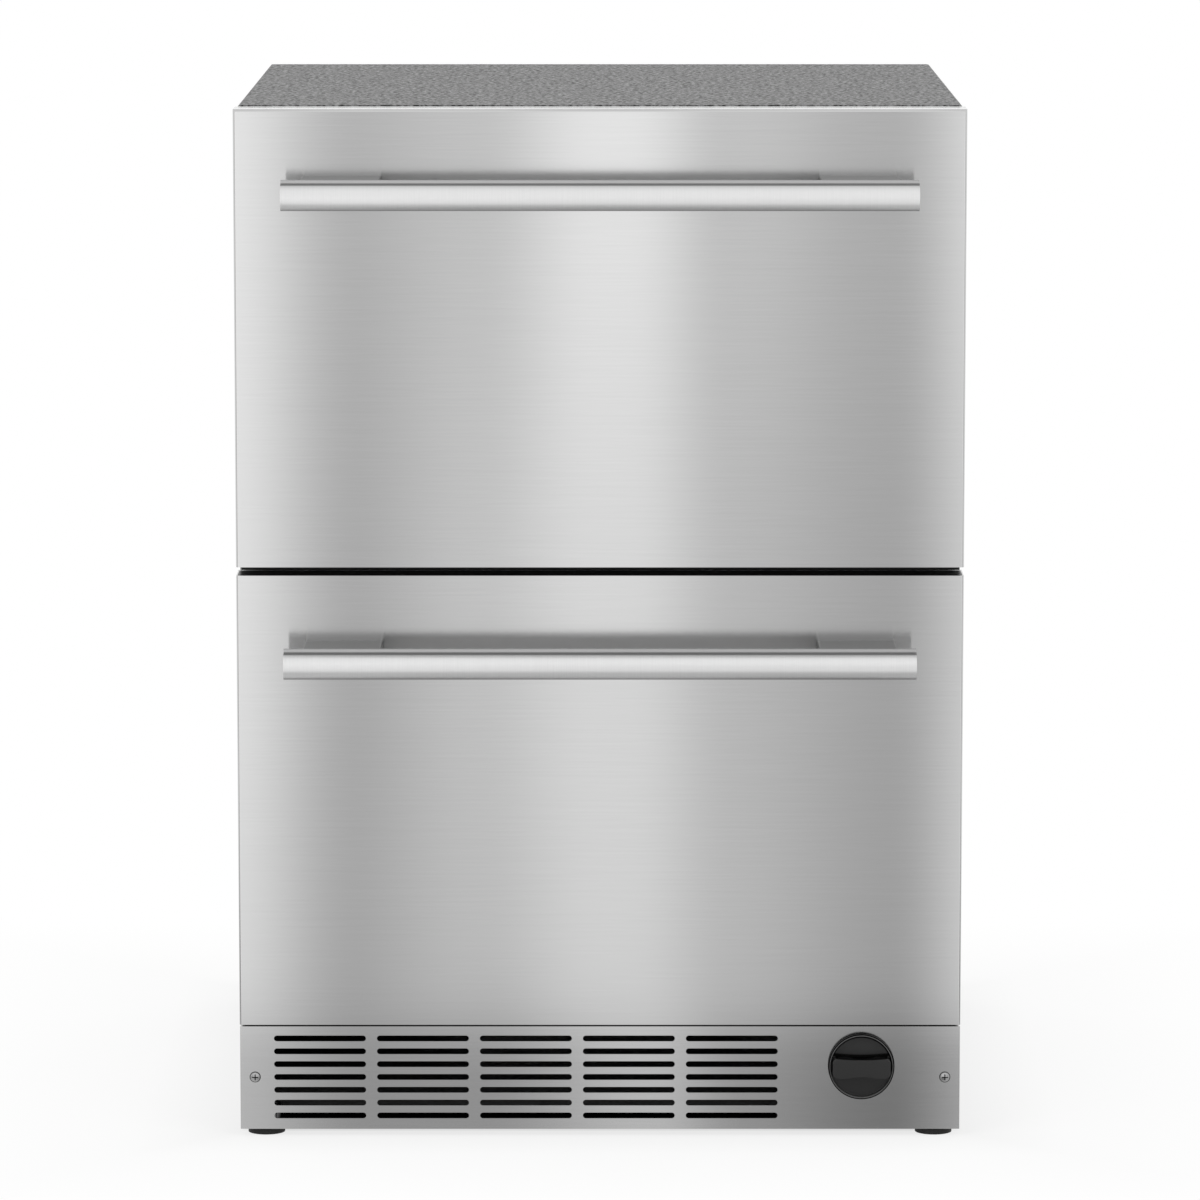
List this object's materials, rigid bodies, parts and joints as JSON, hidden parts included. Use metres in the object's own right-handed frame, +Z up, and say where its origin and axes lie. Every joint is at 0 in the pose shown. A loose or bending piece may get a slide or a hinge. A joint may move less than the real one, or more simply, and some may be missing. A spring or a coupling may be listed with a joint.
{
  "type": "undercounter drawer refrigerator",
  "caption": "Built-under refrigerator with stacked insulated drawers on ball slides, bar handles, slotted toe grille, turning filter cap and levelling legs.",
  "frame": {"origin": "on the floor, under the middle of the whole box, handles included", "axes": "+X to the right seen from the front, -Y out of the front, +Z up"},
  "size_m": [0.606, 0.663, 0.867],
  "materials": {
    "brushed_stainless": "horizontally brushed, satin",
    "handle_stainless": "fine satin, brushed along the bar",
    "grille_stainless": "horizontally brushed, a shade darker than the fronts",
    "textured_grey_enamel": "fine-textured powder coat",
    "galvanised_steel": "galvanised sheet",
    "foam": "rigid polyurethane foam",
    "liner_white": "vacuum-formed, satin",
    "bin_white": "moulded, satin",
    "black_plastic": "fine moulded grain",
    "gasket_grey": "soft matt vinyl",
    "black_rubber": "matt",
    "compressor_black": "semi-gloss black enamel",
    "fin_aluminium": "mill finish",
    "copper": "drawn copper tube",
    "slide_zinc": "bright zinc plate",
    "cage_steel": "yellow zinc with bright balls",
    "white_plastic": "moulded",
    "light_lens": "frosted"
  },
  "bodies": {
    "cabinet": {"outer_case": "textured_grey_enamel", "rear_panel": "galvanised_steel", "step_panel": "galvanised_steel", "machine_cover": "galvanised_steel", "base_pan": "galvanised_steel", "foam_insulation": "foam", "upper_liner": "liner_white", "lower_liner": "liner_white", "mullion_trim": "black_plastic", "evaporator": "fin_aluminium", "evaporator_cover": "liner_white", "evaporator_fan_motor": "compressor_black", "compressor": "compressor_black", "compressor_grommets": "black_rubber", "condenser": "compressor_black", "condenser_fan_motor": "compressor_black", "refrigerant_tubes": "copper", "drain_pan": "black_plastic", "temperature_control": "white_plastic", "control_box": "black_plastic", "cabinet_lights": "light_lens", "toe_grille": "grille_stainless", "grille_screws": "slide_zinc", "filter_housing": "white_plastic", "water_valve": "white_plastic", "leg_sockets": "slide_zinc", "cord_bushing": "black_rubber", "slide_rails": "slide_zinc"},
    "upper_drawer": {"upper_front_skin": "brushed_stainless", "upper_front_core": "foam", "upper_inner_panel": "liner_white", "upper_end_cap": "black_plastic", "upper_gasket": "gasket_grey", "upper_handle_bar": "handle_stainless", "upper_handle_posts": "handle_stainless", "upper_bin": "bin_white", "upper_drawer_members": "slide_zinc"},
    "lower_drawer": {"lower_front_skin": "brushed_stainless", "lower_front_core": "foam", "lower_inner_panel": "liner_white", "lower_end_caps": "black_plastic", "lower_gasket": "gasket_grey", "lower_handle_bar": "handle_stainless", "lower_handle_posts": "handle_stainless", "lower_bin": "bin_white", "lower_drawer_members": "slide_zinc"},
    "upper_middles": {"upper_slide_middles": "slide_zinc"},
    "lower_middles": {"lower_slide_middles": "slide_zinc"},
    "upper_outer_ball_cages": {"upper_outer_cages": "cage_steel"},
    "upper_inner_ball_cages": {"upper_inner_cages": "cage_steel"},
    "lower_outer_ball_cages": {"lower_outer_cages": "cage_steel"},
    "lower_inner_ball_cages": {"lower_inner_cages": "cage_steel"},
    "evaporator_fan": {"evaporator_fan": "white_plastic"},
    "condenser_fan": {"condenser_fan": "black_plastic"},
    "filter_cartridge": {"filter_cartridge": "white_plastic"},
    "filter_cap": {"filter_cap": "black_plastic"},
    "leg_front_left": {"leg_front_left": "black_rubber"},
    "leg_front_right": {"leg_front_right": "black_rubber"},
    "leg_rear_left": {"leg_rear_left": "black_rubber"},
    "leg_rear_right": {"leg_rear_right": "black_rubber"}
  },
  "joints": [
    {"name": "upper_drawer_slide", "type": "slide", "parent": "cabinet", "child": "upper_drawer", "axis": [0, -1, 0], "range_m": [0, 0.43]},
    {"name": "upper_middle_slide", "type": "slide", "parent": "cabinet", "child": "upper_middles", "axis": [0, -1, 0], "range_m": [0, 0.215]},
    {"name": "upper_outer_cage_slide", "type": "slide", "parent": "cabinet", "child": "upper_outer_ball_cages", "axis": [0, -1, 0], "range_m": [0, 0.1075]},
    {"name": "upper_inner_cage_slide", "type": "slide", "parent": "cabinet", "child": "upper_inner_ball_cages", "axis": [0, -1, 0], "range_m": [0, 0.3225]},
    {"name": "lower_drawer_slide", "type": "slide", "parent": "cabinet", "child": "lower_drawer", "axis": [0, -1, 0], "range_m": [0, 0.43]},
    {"name": "lower_middle_slide", "type": "slide", "parent": "cabinet", "child": "lower_middles", "axis": [0, -1, 0], "range_m": [0, 0.215]},
    {"name": "lower_outer_cage_slide", "type": "slide", "parent": "cabinet", "child": "lower_outer_ball_cages", "axis": [0, -1, 0], "range_m": [0, 0.1075]},
    {"name": "lower_inner_cage_slide", "type": "slide", "parent": "cabinet", "child": "lower_inner_ball_cages", "axis": [0, -1, 0], "range_m": [0, 0.3225]},
    {"name": "evaporator_fan_spin", "type": "hinge", "parent": "cabinet", "child": "evaporator_fan", "pos_m": [0, 0.2385, 0.736], "axis": [0, 1, 0], "continuous": true},
    {"name": "condenser_fan_spin", "type": "hinge", "parent": "cabinet", "child": "condenser_fan", "pos_m": [0.02, 0.2355, 0.0985], "axis": [1, 0, 0], "continuous": true},
    {"name": "filter_pull", "type": "slide", "parent": "cabinet", "child": "filter_cartridge", "axis": [0, -1, 0], "range_m": [0, 0.22]},
    {"name": "filter_cap_turn", "type": "hinge", "parent": "filter_cartridge", "child": "filter_cap", "pos_m": [0.22, -0.2635, 0.0605], "axis": [0, -1, 0], "range_deg": [0, 90]},
    {"name": "leg_front_left_screw", "type": "slide", "parent": "cabinet", "child": "leg_front_left", "axis": [0, 0, -1], "range_m": [0, 0.025]},
    {"name": "leg_front_right_screw", "type": "slide", "parent": "cabinet", "child": "leg_front_right", "axis": [0, 0, -1], "range_m": [0, 0.025]},
    {"name": "leg_rear_left_screw", "type": "slide", "parent": "cabinet", "child": "leg_rear_left", "axis": [0, 0, -1], "range_m": [0, 0.025]},
    {"name": "leg_rear_right_screw", "type": "slide", "parent": "cabinet", "child": "leg_rear_right", "axis": [0, 0, -1], "range_m": [0, 0.025]}
  ],
  "couplings": [
    {"joint": "upper_middle_slide", "follows": "upper_drawer_slide", "ratio": 0.5},
    {"joint": "upper_outer_cage_slide", "follows": "upper_drawer_slide", "ratio": 0.25},
    {"joint": "upper_inner_cage_slide", "follows": "upper_drawer_slide", "ratio": 0.75},
    {"joint": "lower_middle_slide", "follows": "lower_drawer_slide", "ratio": 0.5},
    {"joint": "lower_outer_cage_slide", "follows": "lower_drawer_slide", "ratio": 0.25},
    {"joint": "lower_inner_cage_slide", "follows": "lower_drawer_slide", "ratio": 0.75}
  ]
}
